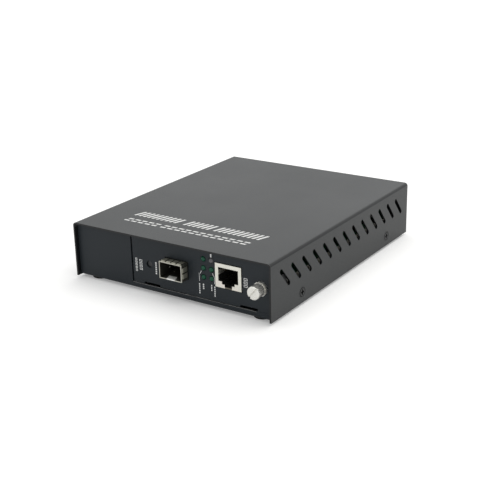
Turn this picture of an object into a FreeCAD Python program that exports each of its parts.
import FreeCAD, Part
import math
import os
from types import SimpleNamespace
import Sketcher

# A one-slot fibre media converter: a folded steel case with a mains power supply on its left
# and a bay on its right, which holds a plug-in converter card behind a captive thumbscrew.
# +X is to the right, +Y runs from the front panel to the back, +Z is up, lengths are in mm.
# The origin is the bottom centre of the whole, so the feet stand on z = 0.

# How many flats stand for a round: on small round things, and on the hexagonal pillars and heads.
# A full turn and the angles of the rings on a lamp's dome are in degrees.
ROUND_SIDES = 16
SHANK_SIDES = 12
HEXAGON_SIDES = 6
FULL_TURN = 360
DOME_RING_ANGLE = 40
DOME_TIP_ANGLE = 68

SIZES = (
    # case
    ("case_width", 131.0), ("case_depth", 160.0), ("case_height", 32.0),
    ("cover_sheet", 1.0), ("cover_bend", 2.0), ("cover_gap", 0.15),
    ("front_recess", 2.3), ("rear_recess", 2.3),
    ("tray_sheet", 1.0), ("tray_bend", 1.8), ("flange_height", 11.0), ("corner_gap", 0.5),
    ("vent_count", 13), ("vent_width", 2.6), ("vent_length", 11.84), ("vent_slope", 49.45),
    ("vent_first", 13.9), ("vent_last", 12.9), ("vent_height", 20.5),
    ("foot_height", 1.5), ("foot_radius", 5.0), ("foot_inset", 10.5), ("foot_from_edge", 9.0),
    # screws that hold the cover
    ("cover_screw_front", 31.3), ("cover_screw_rear", 28.5), ("cover_screw_height", 6.0),
    ("cover_screw_radius", 1.5), ("cover_screw_head", 3.0), ("cover_screw_sink", 0.9),
    ("cover_screw_length", 3.6), ("cover_screw_socket", 0.6), ("cover_screw_arm", 1.5),
    ("cover_screw_slot", 0.6),
    # bay
    ("blank_width", 38.35), ("plate_side_gap", 1.1), ("plate_right_gap", 1.0), ("rail_height", 3.5),
    ("plate_gap", 0.5), ("seat_gap", 0.1), ("seat_width", 8.6), ("plate_height", 26.4),
    ("plate_thickness", 1.5), ("plate_corner", 0.5), ("notch_inset", 7.4), ("notch_width", 10.8),
    ("notch_height", 1.2),
    ("divider_sheet", 1.0), ("divider_height", 27.0), ("divider_foot", 10.0),
    ("divider_back_gap", 5.4), ("divider_start", 3.0), ("divider_lap", 0.9),
    # card
    ("board_height", 10.9), ("board_thickness", 1.6), ("board_start", 2.2),
    ("board_edge_gap", 0.2), ("guide_width", 4.2), ("guide_groove", 2.2), ("guide_height", 6.0),
    ("guide_play", 0.15), ("guide_start", 12.0), ("guide_past", 1.8), ("guide_lead", 1.2),
    ("bracket_width", 6.0), ("bracket_depth", 9.0), ("bracket_sheet", 1.5), ("bracket_drop", 5.0),
    ("bracket_left", 2.6), ("bracket_right", 11.0), ("bracket_screw_reach", 5.5),
    ("board_screw_radius", 1.25), ("board_screw_head", 2.3), ("board_screw_head_height", 1.4),
    # optical port
    ("sfp_width", 14.6), ("sfp_height", 9.5), ("sfp_wall", 0.35),
    ("sfp_reach", 5.7), ("sfp_depth", 43.0), ("sfp_opening_gap", 0.45),
    ("finger_count_top", 4), ("finger_count_side", 3), ("finger_width", 2.6), ("finger_slit", 0.75),
    ("finger_thickness", 0.25), ("finger_bow", 0.55), ("finger_start", 0.5), ("finger_length", 4.9),
    ("latch_tab_width", 5.1), ("latch_tab_depth", 2.6), ("latch_tab_lift", 0.8),
    ("latch_tab_sheet", 0.3), ("latch_tab_root", 0.8), ("sfp_socket_width", 12.0),
    ("sfp_socket_height", 5.4), ("sfp_socket_depth", 8.0), ("sfp_socket_from_back", 2.0),
    ("sfp_slot_height", 1.3), ("sfp_slot_width", 9.6), ("sfp_slot_depth", 5.0),
    # copper port
    ("jack_from_right", 25.0), ("jack_width", 16.2), ("jack_height", 13.3), ("jack_depth", 21.0),
    ("jack_wall", 0.3), ("jack_reach", 0.4), ("jack_opening_gap", 0.4),
    ("port_width", 12.4), ("port_top", 2.1), ("port_height", 7.7), ("latch_step_width", 7.9),
    ("latch_step", 1.5), ("latch_slot_width", 4.6), ("latch_slot", 1.3), ("port_depth", 13.0),
    ("contact_count", 8), ("contact_pitch", 1.02), ("contact_width", 0.45), ("contact_back", 11.0),
    ("contact_front", 3.0), ("contact_drop", 2.6), ("contact_wire", 0.45),
    # lamps and reset
    ("lamp_from_right", 40.8), ("lamp_spacing", 5.08), ("lamp_low", 16.0), ("lamp_rise", 5.08),
    ("lamp_radius", 1.5), ("lamp_reach", 1.1), ("lamp_hole_gap", 0.1),
    ("lamp_past", 0.4), ("holder_margin", 2.35), ("holder_depth", 6.0),
    ("holder_top", 2.2), ("reset_place", 11.4), ("reset_height", 16.0), ("reset_hole", 2.0),
    ("reset_radius", 1.7), ("reset_recess", 0.9), ("reset_length", 6.4), ("reset_play", 0.05),
    ("reset_overlap", 1.0), ("reset_travel", 0.3), ("reset_stop_gap", 0.1), ("switch_width", 6.5),
    ("switch_depth", 4.5), ("switch_top", 3.0),
    # thumbscrew
    ("screw_inset", 5.1), ("screw_height", 17.1), ("knob_radius", 3.6), ("knob_reach", 8.0),
    ("knob_length", 6.3), ("knob_bevel", 0.5), ("knurl_count", 24), ("knurl_depth", 0.3),
    ("slot_width", 1.0), ("slot_depth", 1.3), ("slot_angle", 50), ("cup_radius", 3.86), ("cup_bore", 3.2),
    ("cup_depth", 1.6), ("cup_floor", 0.4), ("barrel_radius", 2.9), ("barrel_bore", 2.45),
    ("barrel_end", 2.5), ("barrel_lip", 0.5), ("neck_radius", 1.1), ("neck_play", 0.15),
    ("thread_radius", 1.5), ("thread_play", 0.05), ("screw_travel", 3.5), ("thread_length", 3.3),
    ("thread_clear", 0.1), ("washer_radius", 3.0), ("washer_thickness", 0.4), ("washer_gap", 0.02),
    ("spring_wire", 0.35), ("spring_radius", 2.0), ("spring_turns", 3), ("ear_start", 6.0),
    ("ear_width", 9.4), ("ear_below", 3.4), ("ear_above", 5.0), ("ear_foot", 9.0),
    ("nut_radius", 3.1), ("nut_height", 2.0),
    # card's other parts
    ("plug_width", 30.0), ("plug_height", 8.0), ("plug_depth", 10.0), ("plug_tongue_width", 26.0),
    ("plug_tongue_height", 4.0), ("plug_tongue", 6.0), ("socket_wall", 1.4), ("socket_play", 0.3),
    ("socket_depth", 8.0), ("plug_from_right", 10.05), ("socket_gap", 0.5), ("socket_floor", 1.4),
    ("backplane_width", 46.0), ("backplane_height", 22.0), ("backplane_thickness", 1.6),
    ("backplane_lift", 1.2), ("backplane_back_gap", 2.6), ("backplane_foot", 9.5),
    ("backplane_foot_sheet", 1.2), ("backplane_foot_width", 16.0), ("backplane_foot_height", 14.0),
    ("chip_large", 14.0), ("chip_small", 9.0), ("chip_height", 1.4), ("magnetics_length", 15.0),
    ("magnetics_width", 12.0), ("magnetics_height", 5.6), ("crystal_length", 11.0),
    ("crystal_width", 4.6), ("crystal_height", 3.5), ("card_cap_radius", 3.15),
    ("card_cap_height", 7.7), ("card_cap_pitch", 9.0), ("card_cap_place_x", 12.0),
    ("card_cap_place_y", 110.0), ("chip_place_x", 42.0), ("chip_place_y", 58.0),
    ("chip_spacing", 20.0), ("magnetics_place_x", 52.0), ("magnetics_place_y", 28.0),
    # power supply
    ("supply_width", 33.0), ("supply_length", 112.0), ("supply_start", 4.0), ("supply_inset", 1.6),
    ("supply_thickness", 1.6), ("standoff_height", 5.0), ("standoff_radius", 2.75),
    ("standoff_inset", 3.8), ("supply_screw_radius", 1.5), ("supply_screw_head", 2.8),
    ("supply_screw_head_height", 1.8), ("supply_screw_reach", 3.0),
    ("core_width", 21.0), ("core_depth", 9.0), ("core_height", 17.0), ("core_leg", 3.0),
    ("core_middle_leg", 5.0), ("core_lift", 2.0), ("core_place_x", 16.5), ("core_place_y", 56.0),
    ("bobbin_depth", 17.0), ("bulk_radius", 6.5), ("bulk_height", 20.0), ("bulk_place_x", 10.0),
    ("bulk_place_y", 76.0), ("output_cap_radius", 4.0), ("output_cap_height", 13.0),
    ("output_cap_place_x", 9.0), ("output_cap_place_y", 14.0), ("output_cap_pitch", 9.5),
    ("choke_ring", 5.6), ("choke_section", 2.6), ("choke_place_x", 9.8), ("choke_place_y", 99.0),
    ("fuse_radius", 2.6), ("fuse_length", 20.0), ("fuse_place_x", 6.5), ("fuse_place_y", 86.8),
    ("fuse_lift", 3.4), ("fuse_cap", 4.5), ("fuse_clip_sheet", 0.6),
    ("line_cap_length", 15.0), ("line_cap_width", 6.0), ("line_cap_height", 12.0),
    ("line_cap_place_x", 22.0), ("line_cap_place_y", 68.0),
    ("sink_thickness", 1.5), ("sink_length", 24.0), ("sink_height", 19.0), ("sink_place_x", 28.0),
    ("sink_place_y", 23.0), ("device_width", 10.0), ("device_height", 15.0),
    ("device_thickness", 4.4), ("device_pitch", 12.0), ("device_inset", 1.0),
    ("header_width", 7.0), ("header_depth", 6.0), ("header_height", 8.0), ("header_place_x", 19.2),
    ("header_inset", 7.5),
    # power inlet
    ("inlet_place", 20.0), ("inlet_height", 16.0), ("inlet_flange_width", 31.0),
    ("inlet_flange_height", 24.0), ("inlet_flange", 2.6), ("inlet_corner", 2.0), ("inlet_body_width", 27.0),
    ("inlet_body_height", 19.8), ("inlet_body_depth", 17.0), ("inlet_body_corner", 4.2),
    ("inlet_hole_gap", 0.2), ("inlet_mouth_width", 24.2), ("inlet_mouth_height", 16.4),
    ("inlet_mouth_depth", 16.0), ("pin_width", 2.0), ("pin_height", 4.0), ("pin_spacing", 7.0),
    ("pin_rise", 2.0), ("pin_length", 14.5), ("pin_tail", 6.0),
)

doc = FreeCAD.newDocument("media_converter")
sheet = doc.addObject("Spreadsheet::Sheet", "Sizes")


class Size:
    """A number together with the formula over the sheet's cells that it comes from."""

    def __init__(self, number, formula):
        self.number = number
        self.formula = formula

    def __add__(self, other):
        other = as_size(other)
        return Size(self.number + other.number, f"({self.formula} + {other.formula})")

    def __sub__(self, other):
        other = as_size(other)
        return Size(self.number - other.number, f"({self.formula} - {other.formula})")

    def __mul__(self, other):
        other = as_size(other)
        return Size(self.number * other.number, f"({self.formula} * {other.formula})")

    def __truediv__(self, other):
        other = as_size(other)
        return Size(self.number / other.number, f"({self.formula} / {other.formula})")

    def __neg__(self):
        return Size(-self.number, f"(0 - {self.formula})")

    def __radd__(self, other):
        return as_size(other) + self

    def __rsub__(self, other):
        return as_size(other) - self

    def __rmul__(self, other):
        return as_size(other) * self


def sine(angle):
    return Size(math.sin(math.radians(angle.number)), f"sin({angle.formula} * 1 deg)")


def cosine(angle):
    return Size(math.cos(math.radians(angle.number)), f"cos({angle.formula} * 1 deg)")


def as_size(value):
    return value if isinstance(value, Size) else Size(float(value), f"{value}")


def read_sizes():
    """Write each size into the sheet and hand them back by name."""
    cells = {}
    for row, (name, number) in enumerate(SIZES, start=1):
        sheet.set(f"A{row}", name)
        sheet.set(f"B{row}", str(number))
        sheet.setAlias(f"B{row}", name)
        cells[name] = Size(float(number), f"Sizes.{name}")
    doc.recompute()
    return SimpleNamespace(**cells)


s = read_sizes()


# ---- helpers: primitives -------------------------------------------------------------------

TURNS = {
    "x": FreeCAD.Rotation(FreeCAD.Vector(0, 1, 0), 90),
    "y": FreeCAD.Rotation(FreeCAD.Vector(1, 0, 0), -90),
    "z": FreeCAD.Rotation(),
}


def bind(thing, **sizes):
    for name, size in sizes.items():
        thing.setExpression(name, as_size(size).formula)


def put(thing, point, along="z"):
    """Place a primitive at a point with its own axis along x, y or z."""
    thing.Placement = FreeCAD.Placement(FreeCAD.Vector(), TURNS[along])
    for name, size in zip("xyz", point):
        thing.setExpression(f".Placement.Base.{name}", as_size(size).formula)
    return thing


def block(label, x, y, z):
    """A box between two values on each axis."""
    box = doc.addObject("Part::Box", label)
    bind(box, Length=x[1] - as_size(x[0]), Width=y[1] - as_size(y[0]), Height=z[1] - as_size(z[0]))
    return put(box, (x[0], y[0], z[0]))


def rod(label, radius, start, length, along):
    cylinder = doc.addObject("Part::Cylinder", label)
    bind(cylinder, Radius=radius, Height=length)
    return put(cylinder, start, along)


def prism(label, sides, radius, start, length, along):
    """A straight bar with flat sides, whose corners lie on the radius."""
    bar = doc.addObject("Part::Prism", label)
    bar.Polygon = sides
    bind(bar, Circumradius=radius, Height=length)
    return put(bar, start, along)


def cone(label, radius, end_radius, start, length, along):
    taper = doc.addObject("Part::Cone", label)
    bind(taper, Radius1=radius, Radius2=end_radius, Height=length)
    return put(taper, start, along)


def cut(label, base, *tools):
    tool = tools[0] if len(tools) == 1 else fuse(f"{label}_tools", *tools)
    result = doc.addObject("Part::Cut", label)
    result.Base = base
    result.Tool = tool
    return result


def fuse(label, *pieces):
    result = doc.addObject("Part::MultiFuse", label)
    result.Shapes = list(pieces)
    return result


def group(label, *pieces):
    """Separate solids that share one node."""
    result = doc.addObject("Part::Compound", label)
    result.Links = list(pieces)
    return result


# ---- helpers: sketched bodies --------------------------------------------------------------

# For a cut across each axis: the origin plane, and which way the plane's normal points.
PLANES = {"x": ("YZ_Plane", 1), "y": ("XZ_Plane", -1), "z": ("XY_Plane", 1)}


def fix_point(sketch, geometry, end, point):
    """Hold one point of a sketch at two bound distances from the origin."""
    for kind, size in zip(("DistanceX", "DistanceY"), point):
        size = as_size(size)
        index = sketch.addConstraint(Sketcher.Constraint(kind, -1, 1, geometry, end, size.number))
        sketch.setExpression(f"Constraints[{index}]", size.formula)


def outline(*points):
    """A closed run of straight lines through the points."""
    def draw(sketch):
        first = sketch.GeometryCount
        spots = [FreeCAD.Vector(as_size(u).number, as_size(v).number, 0) for u, v in points]
        for spot, following in zip(spots, spots[1:] + spots[:1]):
            sketch.addGeometry(Part.LineSegment(spot, following), False)
        for index in range(len(points)):
            following = first + (index + 1) % len(points)
            sketch.addConstraint(Sketcher.Constraint("Coincident", first + index, 2, following, 1))
        for index, point in enumerate(points):
            fix_point(sketch, first + index, 1, point)
    return draw


def rectangle(u, v):
    return outline((u[0], v[0]), (u[1], v[0]), (u[1], v[1]), (u[0], v[1]))


def circle(centre, radius):
    def draw(sketch):
        spot = FreeCAD.Vector(as_size(centre[0]).number, as_size(centre[1]).number, 0)
        ring = Part.Circle(spot, FreeCAD.Vector(0, 0, 1), as_size(radius).number)
        geometry = sketch.addGeometry(ring, False)
        fix_point(sketch, geometry, 3, centre)
        index = sketch.addConstraint(Sketcher.Constraint("Radius", geometry, as_size(radius).number))
        sketch.setExpression(f"Constraints[{index}]", as_size(radius).formula)
    return draw


def many_sided(centre, radius, sides):
    """A round hole for a shank or lens with flats, its first corner towards +u."""
    return outline(*[
        (centre[0] + radius * cosine(as_size(FULL_TURN * step / sides)),
         centre[1] + radius * sine(as_size(FULL_TURN * step / sides))) for step in range(sides)])


def slot(start, end, width, slope):
    """A slot between two centres, falling at the slope in degrees, its round ends in three flats."""
    radius = width / 2
    points = []
    for centre, first in ((start, 90), (end, -90)):
        for step in range(4):
            angle = as_size(first + step * 60) - slope
            points.append((centre[0] + radius * cosine(angle), centre[1] + radius * sine(angle)))
    return outline(*points)


class Body:
    """A PartDesign body built from sketches across the x, y or z axis."""

    def __init__(self, label):
        self.body = doc.addObject("PartDesign::Body", label)
        self.label = label
        self.count = 0

    def name(self, kind):
        self.count += 1
        return f"{self.label}_{kind}_{self.count}"

    def sketch(self, axis, position, shapes):
        role, sign = PLANES[axis]
        plane = next(item for item in self.body.Origin.OriginFeatures if item.Role == role)
        sketch = self.body.newObject("Sketcher::SketchObject", self.name("sketch"))
        sketch.AttachmentSupport = [(plane, "")]
        sketch.MapMode = "FlatFace"
        sketch.setExpression(".AttachmentOffset.Base.z", (sign * as_size(position)).formula)
        for draw in shapes:
            draw(sketch)
        return sketch

    def feature(self, kind, axis, position, depth, shapes):
        feature = self.body.newObject(f"PartDesign::{kind}", self.name(kind.lower()))
        feature.Profile = self.sketch(axis, position, shapes)
        bind(feature, Length=depth)
        doc.recompute()
        return feature

    def pad(self, axis, span, *shapes):
        """Add material between two positions along an axis."""
        start = span[0] if PLANES[axis][1] > 0 else span[1]
        return self.feature("Pad", axis, start, as_size(span[1]) - span[0], shapes)

    def pocket(self, axis, span, *shapes):
        """Remove material between two positions along an axis."""
        start = span[1] if PLANES[axis][1] > 0 else span[0]
        before = self.body.Shape.Volume
        feature = self.feature("Pocket", axis, start, as_size(span[1]) - span[0], shapes)
        if self.body.Shape.Volume >= before:
            raise ValueError(f"{feature.Name} removes nothing")
        return feature

    def revolve(self, axis, centre, *shapes):
        """Turn a half section, drawn across x in the body's own frame, about its y or z axis."""
        feature = self.body.newObject("PartDesign::Revolution", self.name("turned"))
        feature.Profile = self.sketch("x", 0, shapes)
        feature.ReferenceAxis = (feature.Profile[0], ["V_Axis" if axis == "z" else "H_Axis"])
        feature.Angle = FULL_TURN
        for name, size in zip("xyz", centre):
            self.body.setExpression(f".Placement.Base.{name}", as_size(size).formula)
        doc.recompute()
        return feature

    def round(self, radius, *points):
        """Fillet the edges that pass nearest the points."""
        return self.dress("Fillet", "Radius", radius, points)

    def bevel(self, size, *points):
        """Chamfer the edges that pass nearest the points."""
        return self.dress("Chamfer", "Size", size, points)

    def dress(self, kind, size_name, size, points):
        base = self.body.Tip
        edges = [nearest_edge(base.Shape, point) for point in points]
        feature = self.body.newObject(f"PartDesign::{kind}", self.name(kind.lower()))
        feature.Base = (base, sorted(set(edges)))
        bind(feature, **{size_name: size})
        doc.recompute()
        return feature

    def row(self, features, axis, pitch, count):
        """Repeat features in a row along an axis of the body."""
        role = f"{axis.upper()}_Axis"
        line = next(item for item in self.body.Origin.OriginFeatures if item.Role == role)
        pattern = self.body.newObject("PartDesign::LinearPattern", self.name("row"))
        pattern.Originals = features
        pattern.Direction = (line, [""])
        bind(pattern, Length=pitch * (count - 1), Occurrences=count)
        self.body.Tip = pattern
        doc.recompute()
        return pattern

    def ring(self, features, axis, count):
        """Repeat features round an axis of the body."""
        role = f"{axis.upper()}_Axis"
        line = next(item for item in self.body.Origin.OriginFeatures if item.Role == role)
        pattern = self.body.newObject("PartDesign::PolarPattern", self.name("ring"))
        pattern.Originals = features
        pattern.Axis = (line, [""])
        pattern.Angle = FULL_TURN
        bind(pattern, Occurrences=count)
        self.body.Tip = pattern
        doc.recompute()
        return pattern


def nearest_edge(shape, point):
    spot = Part.Vertex(*[as_size(size).number for size in point])
    gaps = [edge.distToShape(spot)[0] for edge in shape.Edges]
    return f"Edge{gaps.index(min(gaps)) + 1}"


# ---- shared places -------------------------------------------------------------------------

tray_length = s.case_depth - s.front_recess - s.rear_recess
face = s.knob_reach - (s.knob_reach + tray_length + s.inlet_flange) / 2
back = face + tray_length
cover_front = face - s.front_recess
cover_back = cover_front + s.case_depth
floor = s.foot_height
deck = floor + s.tray_sheet
top = floor + s.case_height
ceiling = top - s.cover_sheet
side = s.case_width / 2
cover_inside = side - s.cover_sheet
tray_side = cover_inside - s.cover_gap
tray_inside = tray_side - s.tray_sheet
tray_top = ceiling - s.cover_gap

blank_edge = s.blank_width - tray_side
plate_left = blank_edge + s.plate_side_gap
plate_right = cover_inside - s.plate_right_gap
rail_top = floor + s.rail_height
plate_bottom = rail_top + s.plate_gap
plate_top = plate_bottom + s.plate_height
plate_back = face + s.plate_thickness

divider_right = plate_left - s.plate_side_gap + s.divider_lap
divider_left = divider_right - s.divider_sheet
board_bottom = floor + s.board_height
board_top = board_bottom + s.board_thickness
board_left = divider_right + s.guide_width - s.guide_groove + s.board_edge_gap
board_right = tray_inside - s.guide_width + s.guide_groove - s.board_edge_gap
board_front = face + s.board_start
backplane_foot_end = back - s.tray_sheet - s.backplane_back_gap
backplane_back = backplane_foot_end - s.backplane_foot
backplane_front = backplane_back - s.backplane_thickness
socket_front = backplane_front - s.socket_depth
board_back = socket_front - s.socket_gap

screw_x = plate_right - s.screw_inset
screw_z = floor + s.screw_height
plug_right = board_right - s.plug_from_right
plug_left = plug_right - s.plug_width
plug_middle = plug_right - s.plug_width / 2
plug_z = board_top + s.plug_height / 2
jack_x = plate_right - s.jack_from_right
lamp_x = plate_right - s.lamp_from_right
lamp_z = floor + s.lamp_low
reset_x = plate_left + s.reset_place
sfp_x = (reset_x + s.switch_width / 2 + lamp_x - s.holder_margin) / 2
reset_z = floor + s.reset_height
supply_left = s.supply_inset - tray_inside
supply_right = supply_left + s.supply_width
supply_front = face + s.supply_start
supply_bottom = deck + s.standoff_height
supply_top = supply_bottom + s.supply_thickness
inlet_x = s.inlet_place - side
inlet_z = floor + s.inlet_height


# ---- case ----------------------------------------------------------------------------------

def top_cover():
    """A sheet folded down at both sides, with a row of slanted vents in each."""
    cover = Body("cover_fold")
    cover.pad("y", (cover_front, cover_back), rectangle((-side, side), (floor, top)))
    cover.round(s.cover_bend, (side, 0, top), (-side, 0, top))
    cover.pocket("y", (cover_front, cover_back),
                 rectangle((-cover_inside, cover_inside), (floor, ceiling)))
    inner_bend = s.cover_bend - s.cover_sheet
    cover.round(inner_bend, (cover_inside, 0, ceiling), (-cover_inside, 0, ceiling))
    first, last = cover_front + s.vent_first, cover_back - s.vent_last
    middle_z = floor + s.vent_height
    run, drop = s.vent_length * cosine(s.vent_slope) / 2, s.vent_length * sine(s.vent_slope) / 2
    vent = cover.pocket("x", (-side, side), slot(
        (first - run, middle_z + drop), (first + run, middle_z - drop), s.vent_width, s.vent_slope))
    cover.row([vent], "y", (last - first) / (s.vent_count - 1), s.vent_count)
    sinks = []
    for spot in cover_screw_spots():
        cover.pocket("x", (-side, side), circle(spot, s.cover_screw_radius + s.cover_gap))
        for way in (-1, 1):
            sinks.append(countersink(f"cover_sink_{len(sinks) + 1}", way, spot, s.thread_play))
    return cut("top_cover", cover.body, *sinks)


def cover_screw_spots():
    """The screws' places in each side, as distances along y and z."""
    height = floor + s.cover_screw_height
    return (cover_front + s.cover_screw_front, height), (cover_back - s.cover_screw_rear, height)


def countersink(label, way, spot, play):
    """The flat cone of a screw's head in the left (-1) or right (1) side of the cover."""
    wide = s.cover_screw_head + play
    narrow = s.cover_screw_radius + play
    depth = s.cover_screw_sink
    if way > 0:
        return cone(label, narrow, wide, (side - depth, *spot), depth, "x")
    return cone(label, wide, narrow, (-side, *spot), depth, "x")


def tray():
    """The folded base: floor, front with the bay's opening, back, and a low flange each side."""
    base = Body("chassis_tray")
    base.pad("y", (face, back), rectangle((-tray_side, tray_side), (floor, tray_top)))
    base.round(s.tray_bend, (0, face, floor), (0, back, floor))
    base.round(s.cover_bend - s.cover_sheet + s.cover_gap,
               (tray_side, 0, tray_top), (-tray_side, 0, tray_top))
    base.pocket("z", (deck, tray_top), rectangle(
        (-tray_inside, tray_inside), (face + s.tray_sheet, back - s.tray_sheet)))
    front_in = face + s.tray_sheet
    back_in = back - s.tray_sheet
    flange_top = floor + s.flange_height
    fold_top = floor + s.tray_bend
    seam_front = front_in + s.corner_gap
    seam_back = back_in - s.corner_gap
    low_side = outline(
        (front_in, tray_top), (front_in, fold_top), (seam_front, fold_top), (seam_front, flange_top),
        (seam_back, flange_top), (seam_back, fold_top), (back_in, fold_top), (back_in, tray_top))
    base.pocket("x", (-tray_side, tray_side), low_side)
    seat_left = plate_right - s.seat_width
    seat_top = plate_bottom - s.seat_gap
    base.pocket("y", (face, front_in), outline(
        (blank_edge, rail_top), (seat_left, rail_top), (seat_left, seat_top), (tray_side, seat_top),
        (tray_side, tray_top), (blank_edge, tray_top)))
    thumbscrew_ear(base, seam_front, flange_top)
    inlet_half = s.inlet_body_width / 2 + s.inlet_hole_gap
    inlet_rise = s.inlet_body_height / 2 + s.inlet_hole_gap
    base.pocket("y", (back_in, back), rectangle(
        (inlet_x - inlet_half, inlet_x + inlet_half), (inlet_z - inlet_rise, inlet_z + inlet_rise)))
    for spot in cover_screw_spots():
        base.pocket("x", (-tray_side, tray_side), circle(spot, s.cover_screw_radius))
    return base.body


def thumbscrew_ear(base, seam_front, flange_top):
    """Raise the right flange behind the card's panel and fold it in to carry the nut."""
    ear_front = face + s.ear_start
    ear_back = ear_front + s.tray_sheet
    ear_top = screw_z + s.ear_above
    base.pad("x", (tray_inside, tray_side), rectangle(
        (ear_front, ear_front + s.ear_foot), (flange_top, ear_top)))
    base.pad("y", (ear_front, ear_back), rectangle(
        (tray_side - s.ear_width, tray_side), (screw_z - s.ear_below, ear_top)))
    base.pocket("y", (ear_front, ear_back), circle((screw_x, screw_z), s.thread_radius + s.thread_play))


def rubber_feet():
    """Four flat stick-on discs."""
    feet = []
    for x in (s.foot_inset - side, side - s.foot_inset):
        for y in (cover_front + s.foot_from_edge, cover_back - s.foot_from_edge):
            feet.append(rod(f"foot_{len(feet) + 1}", s.foot_radius, (x, y, 0), floor, "z"))
    return group("rubber_feet", *feet)


def cover_screws():
    """Four countersunk screws with a cross recess, two in each side."""
    screws = []
    length = s.cover_screw_length
    depth = s.cover_screw_socket
    arm, slot = s.cover_screw_arm, s.cover_screw_slot / 2
    for way in (-1, 1):
        near = side - depth if way > 0 else -side
        for y, z in cover_screw_spots():
            number = len(screws) + 1
            tip = side - length if way > 0 else -side
            shank = prism(f"cover_screw_shank_{number}", SHANK_SIDES,
                          s.cover_screw_radius - s.thread_play, (tip, y, z), length, "x")
            head = countersink(f"cover_screw_head_{number}", way, (y, z), -s.thread_play)
            upright = block(f"cover_screw_cross_up_{number}", (near, near + depth),
                            (y - slot, y + slot), (z - arm, z + arm))
            level = block(f"cover_screw_cross_level_{number}", (near, near + depth),
                          (y - arm, y + arm), (z - slot, z + slot))
            blank = fuse(f"cover_screw_blank_{number}", shank, head)
            screws.append(cut(f"cover_screw_{number}", blank, upright, level))
    return group("cover_screws", *screws)


def bay_divider():
    """The upright sheet between the power supply and the card, with a folded foot."""
    start = face + s.divider_start
    wall = Body("bay_divider")
    wall.pad("y", (start, back - s.tray_sheet - s.divider_back_gap), outline(
        (divider_left, deck), (divider_right + s.divider_foot, deck),
        (divider_right + s.divider_foot, deck + s.divider_sheet),
        (divider_right, deck + s.divider_sheet), (divider_right, deck + s.divider_height),
        (divider_left, deck + s.divider_height)))
    wall.round(s.divider_sheet * 1.5, (divider_left, 0, deck))
    wall.round(s.divider_sheet * 0.5, (divider_right, 0, deck + s.divider_sheet))
    return wall.body


# ---- card guides and the chassis side of the card's connector ---------------------------------

def card_guide(label, wall, way):
    """A nylon channel with a flared front end, open towards the card's edge."""
    near = wall
    far = wall + way * s.guide_width
    groove = far - way * s.guide_groove
    middle = board_bottom + s.board_thickness / 2
    low, high = middle - s.guide_height / 2, middle + s.guide_height / 2
    groove_low, groove_high = board_bottom - s.guide_play, board_top + s.guide_play
    start = face + s.guide_start
    guide = Body(label)
    guide.pad("y", (start, board_back + s.guide_past), outline(
        (near, low), (far, low), (far, groove_low), (groove, groove_low),
        (groove, groove_high), (far, groove_high), (far, high), (near, high)))
    inner = far - way * s.guide_groove / 2
    guide.bevel(s.guide_lead, (inner, start, groove_high), (inner, start, groove_low))
    return guide.body


def backplane_board():
    """The upright board at the back of the bay, clear of the floor."""
    half = s.backplane_width / 2
    low = deck + s.backplane_lift
    return block("backplane_board", (plug_middle - half, plug_middle + half),
                 (backplane_front, backplane_back), (low, low + s.backplane_height))


def backplane_bracket():
    """A folded angle that stands the backplane on the floor."""
    start, end = backplane_back, backplane_foot_end
    half = s.backplane_foot_width / 2
    sheet_thickness = s.backplane_foot_sheet
    angle = Body("backplane_bracket")
    angle.pad("x", (plug_middle - half, plug_middle + half), outline(
        (start, deck), (end, deck), (end, deck + sheet_thickness),
        (start + sheet_thickness, deck + sheet_thickness),
        (start + sheet_thickness, deck + s.backplane_foot_height), (start, deck + s.backplane_foot_height)))
    angle.round(sheet_thickness, (plug_middle, start, deck))
    return angle.body


def backplane_socket():
    """The open-fronted socket that the card's plug slides into."""
    socket = Body("backplane_socket")
    half = s.plug_tongue_width / 2 + s.socket_play
    rise = s.plug_tongue_height / 2 + s.socket_play
    wall = s.socket_wall
    socket.pad("y", (socket_front, backplane_front), rectangle(
        (plug_middle - half - wall, plug_middle + half + wall),
        (plug_z - rise - wall, plug_z + rise + wall)))
    socket.pocket("y", (socket_front, backplane_front - s.socket_floor), rectangle(
        (plug_middle - half, plug_middle + half), (plug_z - rise, plug_z + rise)))
    return socket.body


def thumbscrew_nut():
    """The hexagonal nut welded behind the tray's ear."""
    start = face + s.ear_start + s.tray_sheet
    blank = prism("thumbscrew_nut_blank", HEXAGON_SIDES, s.nut_radius, (screw_x, start, screw_z),
                  s.nut_height, "y")
    bore = rod("thumbscrew_nut_bore", s.thread_radius + s.thread_play, (screw_x, start, screw_z),
               s.nut_height, "y")
    return cut("thumbscrew_nut", blank, bore)


# ---- the card: panel, board and brackets -------------------------------------------------------

def port_outline(grow):
    """The copper port's mouth, with its latch's two steps below."""
    half = s.port_width / 2 + grow
    step = s.latch_step_width / 2 + grow
    slot = s.latch_slot_width / 2 + grow
    high = board_top + s.jack_height - s.port_top + grow
    low = high - s.port_height - grow * 2
    middle = low - s.latch_step
    bottom = middle - s.latch_slot
    return outline(
        (jack_x - half, high), (jack_x - half, low), (jack_x - step, low), (jack_x - step, middle),
        (jack_x - slot, middle), (jack_x - slot, bottom), (jack_x + slot, bottom), (jack_x + slot, middle),
        (jack_x + step, middle), (jack_x + step, low), (jack_x + half, low), (jack_x + half, high))


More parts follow.
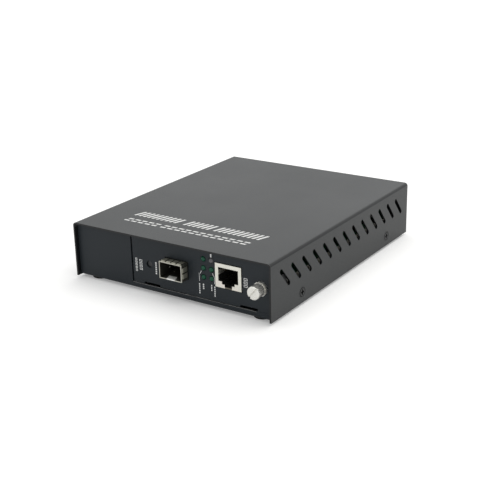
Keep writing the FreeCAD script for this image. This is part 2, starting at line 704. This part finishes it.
def faceplate():
    """The card's flat panel with its cut-outs, and two notches in its lower edge."""
    plate = Body("faceplate")
    span = (face, plate_back)
    plate.pad("y", span, rectangle((plate_left, plate_right), (plate_bottom, plate_top)))
    plate.round(s.plate_corner, *[(x, face + s.plate_thickness / 2, z)
                                  for x in (plate_left, plate_right) for z in (plate_bottom, plate_top)])
    for left in (plate_left + s.notch_inset, plate_right - s.notch_inset - s.notch_width):
        plate.pocket("y", span, rectangle(
            (left, left + s.notch_width), (plate_bottom, plate_bottom + s.notch_height)))
    reach = s.sfp_width / 2 + s.sfp_opening_gap
    plate.pocket("y", span, rectangle(
        (sfp_x - reach, sfp_x + reach),
        (board_top - s.sfp_opening_gap, board_top + s.sfp_height + s.sfp_opening_gap)))
    reach = s.jack_width / 2 + s.jack_opening_gap
    plate.pocket("y", span, rectangle(
        (jack_x - reach, jack_x + reach),
        (board_top - s.jack_opening_gap, board_top + s.jack_height + s.jack_opening_gap)))
    reach = s.lamp_radius + s.lamp_hole_gap
    plate.pocket("y", span, *[many_sided(spot, reach, ROUND_SIDES) for spot in lamp_spots()])
    plate.pocket("y", span, circle((reset_x, reset_z), s.reset_hole))
    plate.pocket("y", span, circle((screw_x, screw_z), s.barrel_radius + s.thread_play))
    return plate.body


def lamp_spots():
    """The six lamps' centres: the left column, then the right one, each from the bottom up."""
    return [(lamp_x + s.lamp_spacing * column, lamp_z + s.lamp_rise * row)
            for column in range(2) for row in range(3)]


def card_board():
    """The card's circuit board, drilled for the bracket screws."""
    board = Body("card_board")
    board.pad("z", (board_bottom, board_top), rectangle(
        (board_left, board_right), (board_front, board_back)))
    board.pocket("z", (board_bottom, board_top), *[
        many_sided(spot, s.board_screw_radius, SHANK_SIDES) for spot in board_screw_spots()])
    return board.body


def bracket_places():
    return (plate_left + s.bracket_left, plate_right - s.bracket_right - s.bracket_width)


def board_screw_spots():
    return [(left + s.bracket_width / 2, plate_back + s.bracket_screw_reach)
            for left in bracket_places()]


def plate_brackets():
    """Two angles under the board's front edge that carry the panel."""
    pieces = []
    for left, spot in zip(bracket_places(), board_screw_spots()):
        angle = Body(f"plate_bracket_{len(pieces) + 1}")
        under = board_bottom - s.bracket_sheet
        angle.pad("x", (left, left + s.bracket_width), outline(
            (plate_back, board_bottom), (plate_back, under - s.bracket_drop),
            (plate_back + s.bracket_sheet, under - s.bracket_drop),
            (plate_back + s.bracket_sheet, under), (plate_back + s.bracket_depth, under),
            (plate_back + s.bracket_depth, board_bottom)))
        angle.pocket("z", (under, board_bottom), many_sided(spot, s.board_screw_radius, SHANK_SIDES))
        pieces.append(angle.body)
    return group("plate_brackets", *pieces)


def board_screws():
    """Two hexagon-head screws down through the board into its brackets."""
    screws = []
    for x, y in board_screw_spots():
        number = len(screws) + 1
        length = s.board_thickness + s.bracket_sheet
        shank = prism(f"board_screw_shank_{number}", SHANK_SIDES, s.board_screw_radius,
                      (x, y, board_top - length), length, "z")
        head = prism(f"board_screw_head_{number}", HEXAGON_SIDES, s.board_screw_head, (x, y, board_top),
                     s.board_screw_head_height, "z")
        screws.append(fuse(f"board_screw_{number}", shank, head))
    return group("board_screws", *screws)


# ---- the card: optical port ----------------------------------------------------------------------

def sfp_cage():
    """A thin folded tube, open at the front, with a latch tab rising from its lower lip."""
    cage = Body("sfp_cage")
    front = face - s.sfp_reach
    rear = front + s.sfp_depth
    half = s.sfp_width / 2
    roof = board_top + s.sfp_height
    cage.pad("y", (front, rear), rectangle((sfp_x - half, sfp_x + half), (board_top, roof)))
    wall = s.sfp_wall
    cage.pocket("y", (front, rear - wall), rectangle(
        (sfp_x - half + wall, sfp_x + half - wall), (board_top + wall, roof - wall)))
    socket_half = s.sfp_socket_width / 2 + s.sfp_wall
    cage.pocket("z", (board_top, board_top + wall), rectangle(
        (sfp_x - socket_half, sfp_x + socket_half), (sfp_socket_front() - wall, rear - wall)))
    lip = board_top + wall
    tab = s.latch_tab_width / 2
    cage.pad("x", (sfp_x - tab, sfp_x + tab), outline(
        (front, lip), (front + s.latch_tab_root, lip),
        (front + s.latch_tab_depth, lip + s.latch_tab_lift),
        (front + s.latch_tab_depth, lip + s.latch_tab_lift + s.latch_tab_sheet),
        (front, lip + s.latch_tab_sheet)))
    return cage.body


def sfp_socket_front():
    rear = face - s.sfp_reach + s.sfp_depth - s.sfp_wall
    return rear - s.sfp_socket_from_back - s.sfp_socket_depth


def sfp_socket():
    """The edge connector inside the cage, seated on the board."""
    socket = Body("sfp_socket")
    front = sfp_socket_front()
    half = s.sfp_socket_width / 2
    socket.pad("y", (front, front + s.sfp_socket_depth), rectangle(
        (sfp_x - half, sfp_x + half), (board_top, board_top + s.sfp_socket_height)))
    slot_half = s.sfp_slot_width / 2
    middle = board_top + s.sfp_socket_height / 2
    rise = s.sfp_slot_height / 2
    socket.pocket("y", (front, front + s.sfp_slot_depth), rectangle(
        (sfp_x - slot_half, sfp_x + slot_half), (middle - rise, middle + rise)))
    return socket.body


def bowed_strip(surface, way):
    """The side view of one spring finger that stands off a surface of the cage."""
    start = face - s.finger_start - s.finger_length
    end = face - s.finger_start
    sheet_thickness = s.finger_thickness
    crest = surface + way * s.finger_bow
    under = crest - way * sheet_thickness
    lead = s.finger_bow * 2
    return ((start, surface), (start + lead, crest), (end - lead, crest), (end, surface),
            (end - sheet_thickness * 2, surface), (end - lead - sheet_thickness, under),
            (start + lead + sheet_thickness, under), (start + sheet_thickness * 2, surface))


def sfp_emi_fingers():
    """Rows of spring fingers round the cage, in front of the panel."""
    fingers = Body("sfp_emi_fingers")
    pitch = s.finger_width + s.finger_slit
    half = s.sfp_width / 2
    first_x = sfp_x - (pitch * s.finger_count_top - s.finger_slit) / 2
    for surface, way in ((board_top + s.sfp_height, 1), (board_top, -1)):
        strip = fingers.pad("x", (first_x, first_x + s.finger_width), outline(*bowed_strip(surface, way)))
        fingers.row([strip], "x", pitch, s.finger_count_top)
    first_z = board_top + s.sfp_height / 2 - (pitch * s.finger_count_side - s.finger_slit) / 2
    for surface, way in ((sfp_x - half, -1), (sfp_x + half, 1)):
        points = [(across, along) for along, across in bowed_strip(surface, way)]
        strip = fingers.pad("z", (first_z, first_z + s.finger_width), outline(*points))
        fingers.row([strip], "z", pitch, s.finger_count_side)
    return fingers.body


# ---- the card: copper port -------------------------------------------------------------------------

def jack_shield():
    """The bright shell of the copper port, with its stepped mouth."""
    shell = Body("jack_shield")
    front = face - s.jack_reach
    rear = front + s.jack_depth
    half = s.jack_width / 2
    roof = board_top + s.jack_height
    wall = s.jack_wall
    shell.pad("y", (front, rear), rectangle((jack_x - half, jack_x + half), (board_top, roof)))
    shell.pocket("y", (front + wall, rear - wall), rectangle(
        (jack_x - half + wall, jack_x + half - wall), (board_top, roof - wall)))
    shell.pocket("y", (front, front + wall), port_outline(0))
    return shell.body


def jack_body():
    """The black moulding inside the shell, hollow where the plug goes."""
    body = Body("jack_body")
    front = face - s.jack_reach + s.jack_wall
    rear = front + s.jack_depth - s.jack_wall * 2
    half = s.jack_width / 2 - s.jack_wall
    roof = board_top + s.jack_height - s.jack_wall
    body.pad("y", (front, rear), rectangle((jack_x - half, jack_x + half), (board_top, roof)))
    body.pocket("y", (front, front + s.port_depth), port_outline(0))
    return body.body


def jack_contacts():
    """Eight gold wires that slant down from the ceiling of the port."""
    wires = Body("jack_contacts")
    front = face - s.jack_reach + s.contact_front
    rear = face - s.jack_reach + s.contact_back
    ceiling_z = board_top + s.jack_height - s.port_top
    low = ceiling_z - s.contact_drop
    first = jack_x - s.contact_pitch * (s.contact_count - 1) / 2 - s.contact_width / 2
    wire = wires.pad("x", (first, first + s.contact_width), outline(
        (front, ceiling_z), (front + s.contact_wire * 2, ceiling_z), (rear, low + s.contact_wire),
        (rear, low)))
    wires.row([wire], "x", s.contact_pitch, s.contact_count)
    return wires.body


# ---- the card: lamps and reset ---------------------------------------------------------------------

def lamp_holder():
    """The black block behind the panel, with an upright channel for each column of lamps."""
    holder = Body("lamp_holder")
    top_z = lamp_z + s.lamp_rise * 2 + s.holder_top
    span = (plate_back, plate_back + s.holder_depth)
    holder.pad("y", span, rectangle(
        (lamp_x - s.holder_margin, lamp_x + s.lamp_spacing + s.holder_margin), (board_top, top_z)))
    reach = s.lamp_radius + s.lamp_hole_gap
    channels = [rectangle((x - reach, x + reach), (lamp_z - reach, top_z - s.holder_top + reach))
                for x in (lamp_x, lamp_x + s.lamp_spacing)]
    holder.pocket("y", span, *channels)
    return holder.body


def lamp(number, spot):
    """One lamp: a lens with a domed front, lofted through rings that shrink towards its tip."""
    tip = face - s.lamp_reach
    dome = tip + s.lamp_radius
    rings = []
    for y, radius in (
        (plate_back + s.holder_depth + s.lamp_past, s.lamp_radius), (dome, s.lamp_radius),
        (dome - s.lamp_radius * sine(as_size(DOME_RING_ANGLE)),
         s.lamp_radius * cosine(as_size(DOME_RING_ANGLE))),
        (tip, s.lamp_radius * cosine(as_size(DOME_TIP_ANGLE))),
    ):
        ring = doc.addObject("Part::RegularPolygon", f"lamp_{number}_ring_{len(rings) + 1}")
        ring.Polygon = ROUND_SIDES
        bind(ring, Circumradius=radius)
        rings.append(put(ring, (spot[0], y, spot[1]), "y"))
    lens = doc.addObject("Part::Loft", f"lamp_{number}")
    lens.Sections = rings
    lens.Solid = True
    lens.Ruled = True
    return lens


def lamps():
    """Five green lamps and the grey one at the top of the right column."""
    made = [lamp(number, spot) for number, spot in enumerate(lamp_spots(), start=1)]
    grey = made[-1]
    return group("green_lamps", *made[:-1]), group("grey_lamp", grey)


def reset_button():
    """A plain round plunger, set back in the panel's hole."""
    return rod("reset_button", s.reset_radius, (reset_x, face + s.reset_recess, reset_z),
               s.reset_length, "y")


def reset_switch():
    """The switch on the board behind the reset button."""
    front = face + s.reset_recess + s.reset_length - s.reset_overlap
    half = s.switch_width / 2
    switch = Body("reset_switch")
    switch.pad("y", (front, front + s.switch_depth), rectangle(
        (reset_x - half, reset_x + half), (board_top, reset_z + s.switch_top)))
    bore_end = front + s.reset_overlap + s.reset_travel + s.reset_stop_gap
    switch.pocket("y", (front, bore_end), circle((reset_x, reset_z), s.reset_radius + s.reset_play))
    return switch.body


# ---- the card: thumbscrew ----------------------------------------------------------------------------

def thumbscrew_cup():
    """The flanged bush in the panel that holds the spring and keeps the screw captive."""
    cup = Body("thumbscrew_cup")
    end = s.barrel_end
    cup.revolve("y", (screw_x, face, screw_z), outline(
        (-s.cup_depth, s.cup_bore), (-s.cup_depth, s.cup_radius), (0, s.cup_radius), (0, s.barrel_radius),
        (end, s.barrel_radius), (end, s.neck_radius + s.neck_play),
        (end - s.barrel_lip, s.neck_radius + s.neck_play), (end - s.barrel_lip, s.barrel_bore),
        (-s.cup_floor, s.barrel_bore), (-s.cup_floor, s.cup_bore)))
    return cup.body


def thumbscrew_washer():
    """The thin washer between the spring and the knob."""
    washer = Body("thumbscrew_washer")
    front = s.knob_length - s.knob_reach + s.washer_gap
    end = front + s.washer_thickness
    hole = s.neck_radius + s.neck_play
    washer.revolve("y", (screw_x, face, screw_z), rectangle((front, end), (hole, s.washer_radius)))
    return washer.body


def thumbscrew_spring():
    """The coil that pushes the loosened screw out, wound from square wire."""
    start = s.knob_length - s.knob_reach + s.washer_gap + s.washer_thickness + s.spring_wire / 2
    length = s.barrel_end - s.barrel_lip - s.spring_wire / 2 - start
    coil = doc.addObject("Part::Helix", "thumbscrew_spring_path")
    bind(coil, Pitch=length / s.spring_turns, Height=length, Radius=s.spring_radius)
    section = doc.addObject("Part::RegularPolygon", "thumbscrew_spring_section")
    section.Polygon = 4
    bind(section, Circumradius=s.spring_wire / 2)
    section.Placement.Rotation = FreeCAD.Rotation(FreeCAD.Vector(1, 0, 0), 90)
    section.setExpression(".Placement.Base.x", s.spring_radius.formula)
    spring = doc.addObject("Part::Sweep", "thumbscrew_spring")
    spring.Sections = [section]
    spring.Spine = coil
    spring.Solid = True
    spring.Frenet = True
    return put(spring, (screw_x, face + start, screw_z), "y")


def thumbscrew():
    """The knurled, slotted knob with its necked and threaded shank in one piece."""
    screw = Body("thumbscrew")
    front = -s.knob_reach
    end = front + s.knob_length
    bevel = s.knob_bevel
    thread = s.barrel_end + s.screw_travel + s.thread_clear
    tip = thread + s.thread_length
    screw.revolve("y", (screw_x, face, screw_z), outline(
        (front, 0), (front, s.knob_radius - bevel), (front + bevel, s.knob_radius),
        (end - bevel, s.knob_radius), (end, s.knob_radius - bevel), (end, s.neck_radius),
        (thread, s.neck_radius), (thread, s.thread_radius), (tip, s.thread_radius), (tip, 0)))
    rim = s.knob_radius
    half = s.knurl_depth
    groove = screw.pocket("y", (front, end), outline(
        (-half, rim + s.knurl_depth), (0, rim - s.knurl_depth), (half, rim + s.knurl_depth)))
    screw.ring([groove], "y", s.knurl_count)
    run, rise = cosine(s.slot_angle), sine(s.slot_angle)
    long, wide = s.knob_radius + s.knob_bevel, s.slot_width / 2
    corners = [(run * a - rise * b, rise * a + run * b)
               for a, b in ((-long, -wide), (long, -wide), (long, wide), (-long, wide))]
    screw.pocket("y", (front, front + s.slot_depth), outline(*corners))
    return screw.body


# ---- the card: other parts on the board ----------------------------------------------------------------

def on_board(label, x, y, width, length, height):
    """A block soldered to the card's board, at a place measured from its front left corner."""
    left, front = board_left + x, board_front + y
    return block(label, (left, left + width), (front, front + length), (board_top, board_top + height))


def card_plug():
    """The plug at the back edge of the board, with the tongue that enters the socket."""
    plug = Body("card_plug")
    plug.pad("y", (board_back - s.plug_depth, board_back), rectangle(
        (plug_left, plug_right), (board_top, board_top + s.plug_height)))
    half = s.plug_tongue_width / 2
    rise = s.plug_tongue_height / 2
    plug.pad("y", (board_back, board_back + s.plug_tongue), rectangle(
        (plug_middle - half, plug_middle + half), (plug_z - rise, plug_z + rise)))
    return plug.body


def card_chips():
    """The switch chip and its smaller partner."""
    large, small = s.chip_large, s.chip_small
    return group("card_chips",
                 on_board("card_chip_1", s.chip_place_x, s.chip_place_y, large, large, s.chip_height),
                 on_board("card_chip_2", s.chip_place_x - s.chip_spacing, s.chip_place_y,
                          small, small, s.chip_height))


def card_magnetics():
    return on_board("card_magnetics", s.magnetics_place_x, s.magnetics_place_y, s.magnetics_width,
                    s.magnetics_length, s.magnetics_height)


def card_crystal():
    return on_board("card_crystal", s.chip_place_x, s.chip_place_y + s.chip_spacing,
                    s.crystal_length, s.crystal_width, s.crystal_height)


def card_capacitors():
    """Three upright can capacitors near the plug."""
    cans = []
    for number in range(3):
        x = board_left + s.card_cap_place_x + s.card_cap_pitch * number
        y = board_front + s.card_cap_place_y
        cans.append(prism(f"card_capacitor_{number + 1}", ROUND_SIDES, s.card_cap_radius,
                          (x, y, board_top), s.card_cap_height, "z"))
    return group("card_capacitors", *cans)


# ---- power supply ------------------------------------------------------------------------------------

def supply_spot(x, y):
    """A place on the supply's board, measured from its front left corner."""
    return supply_left + x, supply_front + y


def on_supply(label, x, y, width, length, height):
    left, front = supply_spot(x, y)
    return block(label, (left, left + width), (front, front + length), (supply_top, supply_top + height))


def standoff_spots():
    inset = s.standoff_inset
    return [supply_spot(x, y) for x in (inset, s.supply_width - inset)
            for y in (inset, s.supply_length - inset)]


def supply_board():
    """The power supply's circuit board, drilled for its four screws."""
    board = Body("supply_board")
    board.pad("z", (supply_bottom, supply_top), rectangle(
        (supply_left, supply_right), (supply_front, supply_front + s.supply_length)))
    board.pocket("z", (supply_bottom, supply_top),
                 *[many_sided(spot, s.supply_screw_radius, SHANK_SIDES) for spot in standoff_spots()])
    return board.body


def supply_standoffs():
    """Four tapped hexagonal pillars on the tray's floor."""
    pillars = []
    for x, y in standoff_spots():
        number = len(pillars) + 1
        pillar = prism(f"standoff_blank_{number}", HEXAGON_SIDES, s.standoff_radius, (x, y, deck),
                       s.standoff_height, "z")
        depth = s.supply_screw_reach
        hole = prism(f"standoff_hole_{number}", SHANK_SIDES, s.supply_screw_radius,
                     (x, y, supply_bottom - depth), depth, "z")
        pillars.append(cut(f"standoff_{number}", pillar, hole))
    return group("supply_standoffs", *pillars)


def supply_screws():
    """Four hexagon-head screws that hold the board on its pillars."""
    screws = []
    for x, y in standoff_spots():
        number = len(screws) + 1
        reach = s.supply_screw_reach
        shank = prism(f"supply_screw_shank_{number}", SHANK_SIDES, s.supply_screw_radius,
                      (x, y, supply_bottom - reach), reach + s.supply_thickness, "z")
        head = prism(f"supply_screw_head_{number}", HEXAGON_SIDES, s.supply_screw_head, (x, y, supply_top),
                     s.supply_screw_head_height, "z")
        screws.append(fuse(f"supply_screw_{number}", shank, head))
    return group("supply_screws", *screws)


def transformer_core(label):
    """A ferrite frame with a middle leg, as two E-shaped halves make it."""
    x, y = supply_spot(s.core_place_x, s.core_place_y)
    low = supply_top + s.core_lift
    core = Body(label)
    span = (y - s.core_depth / 2, y + s.core_depth / 2)
    half = s.core_width / 2
    core.pad("y", span, rectangle((x - half, x + half), (low, low + s.core_height)))
    inner = half - s.core_leg
    leg = s.core_middle_leg / 2
    rows = (low + s.core_leg, low + s.core_height - s.core_leg)
    core.pocket("y", span, rectangle((x - inner, x - leg), rows), rectangle((x + leg, x + inner), rows))
    return core.body


def transformer_bobbin(core):
    """The wound bobbin that fills the core's windows and stands on the board."""
    x, y = supply_spot(s.core_place_x, s.core_place_y)
    half = s.core_width / 2 - s.core_leg
    wound = block("transformer_winding", (x - half, x + half),
                  (y - s.bobbin_depth / 2, y + s.bobbin_depth / 2),
                  (supply_top, supply_top + s.core_lift + s.core_height - s.core_leg))
    return cut("transformer_bobbin", wound, core)


def bulk_capacitor():
    x, y = supply_spot(s.bulk_place_x, s.bulk_place_y)
    return prism("bulk_capacitor", ROUND_SIDES, s.bulk_radius, (x, y, supply_top), s.bulk_height, "z")


def output_capacitors():
    cans = []
    for number in range(2):
        x, y = supply_spot(s.output_cap_place_x + s.output_cap_pitch * number, s.output_cap_place_y)
        cans.append(prism(f"output_capacitor_{number + 1}", ROUND_SIDES, s.output_cap_radius,
                          (x, y, supply_top), s.output_cap_height, "z"))
    return group("output_capacitors", *cans)


def line_choke():
    """A wound ring lying on the board."""
    centre = (*supply_spot(s.choke_place_x, s.choke_place_y), supply_top)
    height = s.choke_section * 2
    outer = prism("choke_outside", ROUND_SIDES, s.choke_ring + s.choke_section, centre, height, "z")
    inner = prism("choke_inside", ROUND_SIDES, s.choke_ring - s.choke_section, centre, height, "z")
    return cut("line_choke", outer, inner)


def line_fuse():
    """A glass tube fuse lying across the board."""
    x, y = supply_spot(s.fuse_place_x, s.fuse_place_y)
    return prism("line_fuse", ROUND_SIDES, s.fuse_radius, (x, y, supply_top + s.fuse_lift),
                 s.fuse_length, "x")


def fuse_clips():
    """The two clips that hold the fuse by its end caps."""
    x, y = supply_spot(s.fuse_place_x, s.fuse_place_y)
    middle = supply_top + s.fuse_lift
    wide = s.fuse_radius + s.fuse_clip_sheet
    clips = []
    for left in (x, x + s.fuse_length - s.fuse_cap):
        number = len(clips) + 1
        blank = block(f"fuse_clip_blank_{number}", (left, left + s.fuse_cap), (y - wide, y + wide),
                      (supply_top, middle + s.fuse_radius / 2))
        bore = prism(f"fuse_clip_bore_{number}", ROUND_SIDES, s.fuse_radius, (left, y, middle),
                     s.fuse_cap, "x")
        clips.append(cut(f"fuse_clip_{number}", blank, bore))
    return group("fuse_clips", *clips)


def line_capacitor():
    return on_supply("line_capacitor", s.line_cap_place_x, s.line_cap_place_y, s.line_cap_width,
                     s.line_cap_length, s.line_cap_height)


def heat_sink():
    return on_supply("heat_sink", s.sink_place_x, s.sink_place_y, s.sink_thickness, s.sink_length,
                     s.sink_height)


def power_devices():
    """The switching transistor and the output rectifier, flat against the heat sink."""
    devices = []
    for number in range(2):
        devices.append(on_supply(
            f"power_device_{number + 1}", s.sink_place_x - s.device_thickness,
            s.sink_place_y + s.device_inset + s.device_pitch * number, s.device_thickness,
            s.device_width, s.device_height))
    return group("power_devices", *devices)


def supply_headers():
    """The output connector at the front of the board and the mains connector at its back."""
    places = (s.header_inset - s.header_depth, s.supply_length - s.header_inset)
    return group("supply_headers", *[
        on_supply(f"supply_header_{number}", s.header_place_x, place, s.header_width,
                  s.header_depth, s.header_height) for number, place in enumerate(places, start=1)])


# ---- power inlet -----------------------------------------------------------------------------------------

def inlet_outline(width, height, corner):
    """A rectangle about the inlet's middle with its two upper corners cut off."""
    half, rise = width / 2, height / 2
    return outline(
        (inlet_x - half, inlet_z - rise), (inlet_x + half, inlet_z - rise),
        (inlet_x + half, inlet_z + rise - corner), (inlet_x + half - corner, inlet_z + rise),
        (inlet_x - half + corner, inlet_z + rise), (inlet_x - half, inlet_z + rise - corner))


def pin_outlines():
    """The three blades: line and neutral low at the sides, earth higher in the middle."""
    half, rise = s.pin_width / 2, s.pin_height / 2
    spots = ((inlet_x - s.pin_spacing, inlet_z - s.pin_rise), (inlet_x, inlet_z + s.pin_rise),
             (inlet_x + s.pin_spacing, inlet_z - s.pin_rise))
    return [rectangle((x - half, x + half), (z - rise, z + rise)) for x, z in spots]


def power_inlet():
    """The snap-in mains inlet in the back wall."""
    inlet = Body("power_inlet")
    half, rise = s.inlet_flange_width / 2, s.inlet_flange_height / 2
    inlet.pad("y", (back, back + s.inlet_flange), rectangle(
        (inlet_x - half, inlet_x + half), (inlet_z - rise, inlet_z + rise)))
    middle = back + s.inlet_flange / 2
    inlet.round(s.inlet_corner, *[(x, middle, z) for x in (inlet_x - half, inlet_x + half)
                                  for z in (inlet_z - rise, inlet_z + rise)])
    inner = back - s.inlet_body_depth
    inlet.pad("y", (inner, back), inlet_outline(
        s.inlet_body_width, s.inlet_body_height, s.inlet_body_corner))
    mouth_end = back + s.inlet_flange - s.inlet_mouth_depth
    inlet.pocket("y", (mouth_end, back + s.inlet_flange), inlet_outline(
        s.inlet_mouth_width, s.inlet_mouth_height, s.inlet_body_corner))
    inlet.pocket("y", (inner, mouth_end), *pin_outlines())
    return inlet.body


def inlet_pins():
    """Three blades whose tails reach into the case."""
    pins = Body("inlet_pins")
    mouth_end = back + s.inlet_flange - s.inlet_mouth_depth
    pins.pad("y", (back - s.inlet_body_depth - s.pin_tail, mouth_end + s.pin_length), *pin_outlines())
    return pins.body


# ---- the whole -------------------------------------------------------------------------------------------

def build_parts():
    green, grey = lamps()
    core = transformer_core("transformer_core")
    winding_core = transformer_core("winding_core")
    return [
        top_cover(), tray(), rubber_feet(), cover_screws(), bay_divider(),
        card_guide("guide_left", divider_right, 1), card_guide("guide_right", tray_inside, -1),
        backplane_board(), backplane_bracket(), backplane_socket(), thumbscrew_nut(),
        faceplate(), card_board(), plate_brackets(), board_screws(),
        sfp_cage(), sfp_socket(), sfp_emi_fingers(), jack_shield(), jack_body(), jack_contacts(),
        lamp_holder(), green, grey, reset_button(), reset_switch(),
        thumbscrew_cup(), thumbscrew_washer(), thumbscrew_spring(), thumbscrew(),
        card_plug(), card_chips(), card_magnetics(), card_crystal(), card_capacitors(),
        supply_board(), supply_standoffs(), supply_screws(), core, transformer_bobbin(winding_core),
        bulk_capacitor(), output_capacitors(), line_choke(), line_fuse(), fuse_clips(),
        line_capacitor(), heat_sink(), power_devices(), supply_headers(), power_inlet(), inlet_pins(),
    ]


def check(parts):
    """Stop if any object failed or any part has no valid solid."""
    for thing in doc.Objects:
        if "Invalid" in thing.State or "Error" in thing.State:
            raise RuntimeError(f"{thing.Label} did not build")
    for part in parts:
        if part.Shape.isNull() or not part.Shape.isValid() or not part.Shape.Solids:
            raise RuntimeError(f"{part.Label} has no valid solid")


def export(parts):
    os.makedirs("parts", exist_ok=True)
    for part in parts:
        part.Shape.exportStep(f"parts/{part.Label}.step")


parts = build_parts()
doc.recompute()
check(parts)
export(parts)
print(f"{len(parts)} parts written")
